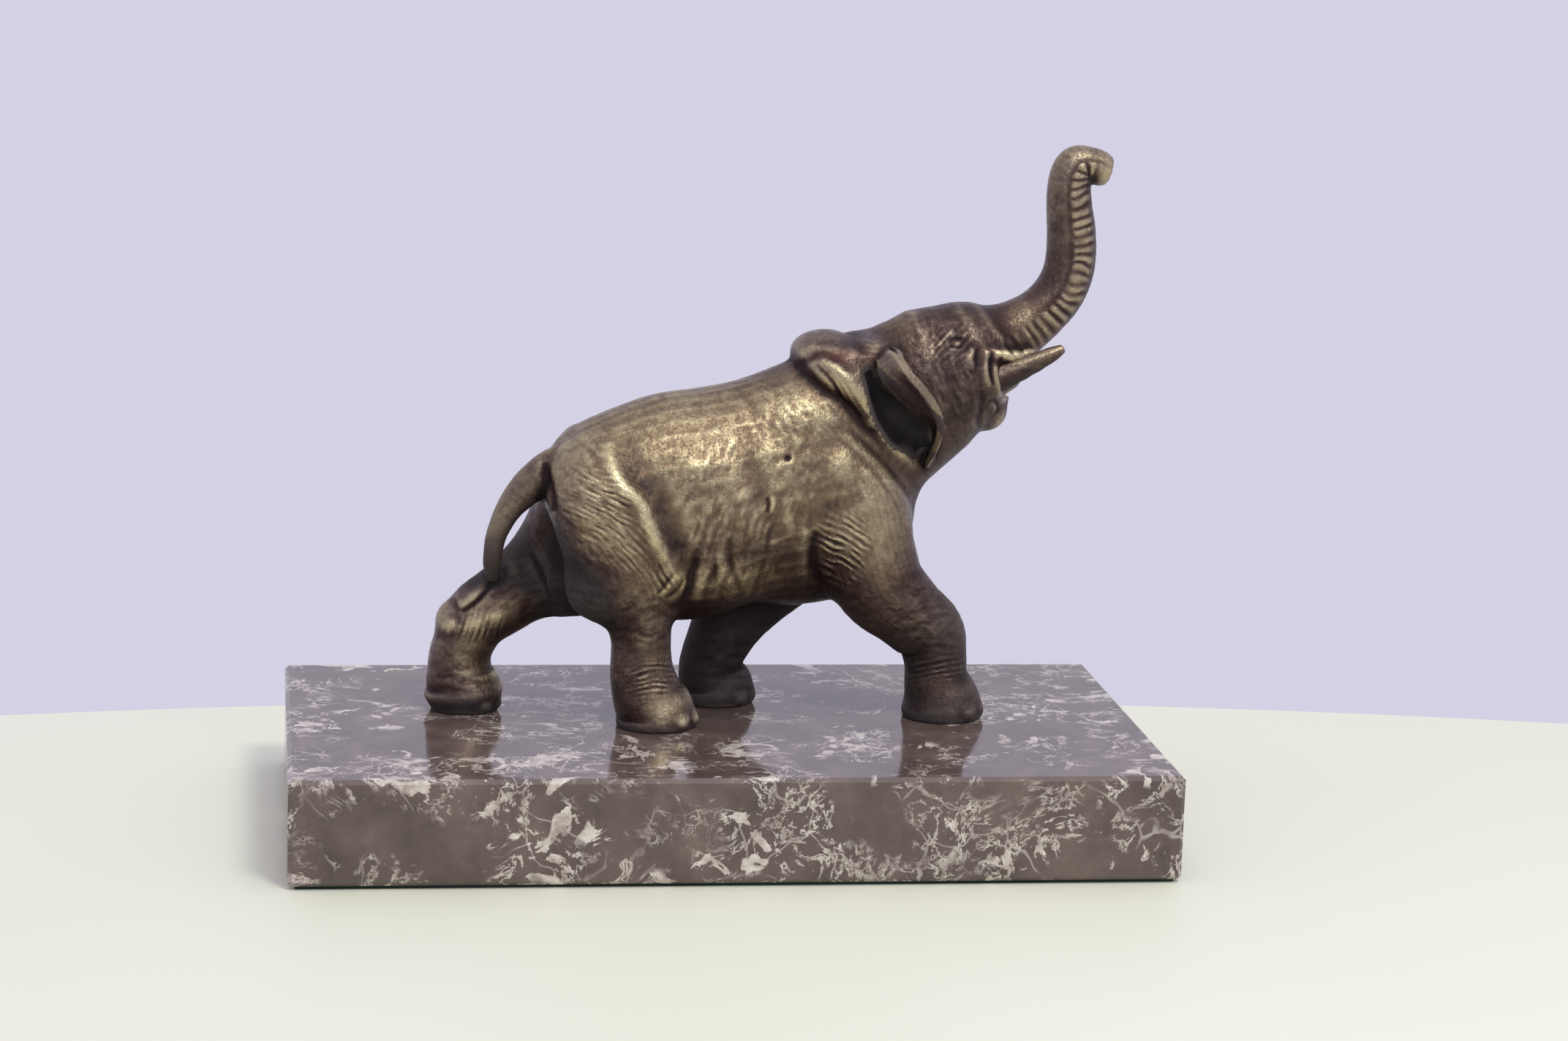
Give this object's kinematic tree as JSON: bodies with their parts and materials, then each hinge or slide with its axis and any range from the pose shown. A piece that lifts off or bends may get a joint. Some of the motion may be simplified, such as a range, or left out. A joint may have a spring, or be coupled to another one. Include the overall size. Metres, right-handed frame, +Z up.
{
  "type": "elephant statuette on marble base",
  "caption": "Patinated bronze elephant striding with raised trunk, bolted through a polished veined marble base with felt beneath.",
  "frame": {"origin": "centre of the felt's underside, on the surface that the base stands on", "axes": "+Z up; +X along the base's long side, towards the elephant's head; +Y along its short side, towards the elephant's left"},
  "size_m": [0.25, 0.14, 0.1989],
  "materials": {
    "bronze": "dark brown patina with golden olive rubbed highlights",
    "tusk_bronze": "brown patina, rubbed lighter",
    "marble": "polished brown grey with cream and white veins",
    "felt": "matt pressed felt",
    "steel": "zinc plated"
  },
  "bodies": {
    "root": {"marble_base": "marble", "felt_pad": "felt", "body_casting": "bronze", "head_casting": "bronze", "tail": "bronze", "core_plug": "bronze", "right_ear": "bronze", "left_ear": "bronze", "right_tusk": "tusk_bronze", "left_tusk": "tusk_bronze", "right_fore_stud": "steel", "left_fore_stud": "steel", "right_hind_stud": "steel", "left_hind_stud": "steel", "right_fore_washer": "steel", "left_fore_washer": "steel", "right_hind_washer": "steel", "left_hind_washer": "steel", "right_fore_nut": "steel", "left_fore_nut": "steel", "right_hind_nut": "steel", "left_hind_nut": "steel"}
  },
  "joints": []
}
